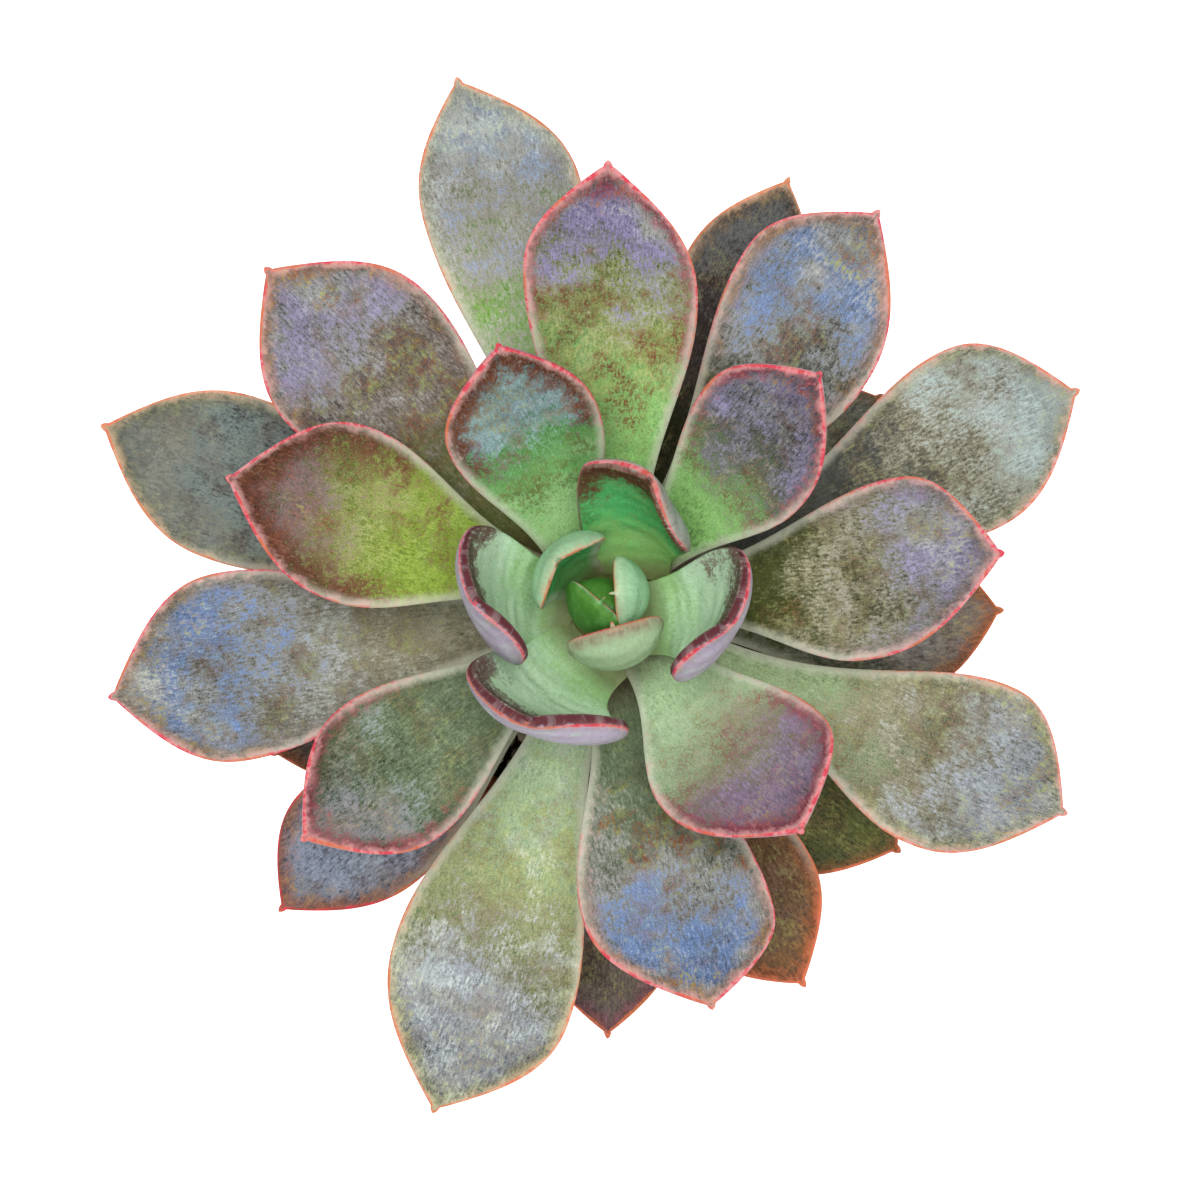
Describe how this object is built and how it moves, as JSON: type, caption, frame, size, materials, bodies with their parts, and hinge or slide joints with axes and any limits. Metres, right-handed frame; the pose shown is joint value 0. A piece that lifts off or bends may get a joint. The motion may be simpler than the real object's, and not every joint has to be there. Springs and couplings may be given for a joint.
{
  "type": "potted echeveria",
  "caption": "Rosette succulent with broad pointed fleshy leaves on a short stem, growing in a round clay pot filled with soil.",
  "frame": {"origin": "on the pot's own axis, at the underside the pot rests on; the plant's stem stands about 2 mm off that axis", "axes": "+Z up along the pot's axis; looking down, +X is to the right and +Y is up, as the rosette is seen from above"},
  "size_m": [0.1287, 0.1351, 0.1208],
  "materials": {
    "clay": "matte",
    "potting_soil": "matte",
    "stem": "matte",
    "old_leaf": "satin",
    "grown_leaf": "satin",
    "young_leaf": "satin"
  },
  "bodies": {
    "root": {"pot": "clay", "soil": "potting_soil", "stem": "stem", "leaf_01": "old_leaf", "leaf_02": "old_leaf", "leaf_03": "old_leaf", "leaf_04": "old_leaf", "leaf_05": "old_leaf", "leaf_06": "old_leaf", "leaf_07": "old_leaf", "leaf_08": "old_leaf", "leaf_09": "grown_leaf", "leaf_10": "grown_leaf", "leaf_11": "grown_leaf", "leaf_12": "grown_leaf", "leaf_13": "grown_leaf", "leaf_14": "grown_leaf", "leaf_15": "grown_leaf", "leaf_16": "grown_leaf", "leaf_17": "grown_leaf", "leaf_18": "grown_leaf", "leaf_19": "grown_leaf", "leaf_20": "grown_leaf", "leaf_21": "grown_leaf", "leaf_22": "grown_leaf", "leaf_23": "grown_leaf", "leaf_24": "grown_leaf", "leaf_25": "young_leaf", "leaf_26": "young_leaf", "leaf_27": "young_leaf", "leaf_28": "young_leaf", "leaf_29": "young_leaf", "leaf_30": "young_leaf", "leaf_31": "young_leaf", "leaf_32": "young_leaf", "leaf_33": "young_leaf"}
  },
  "joints": []
}
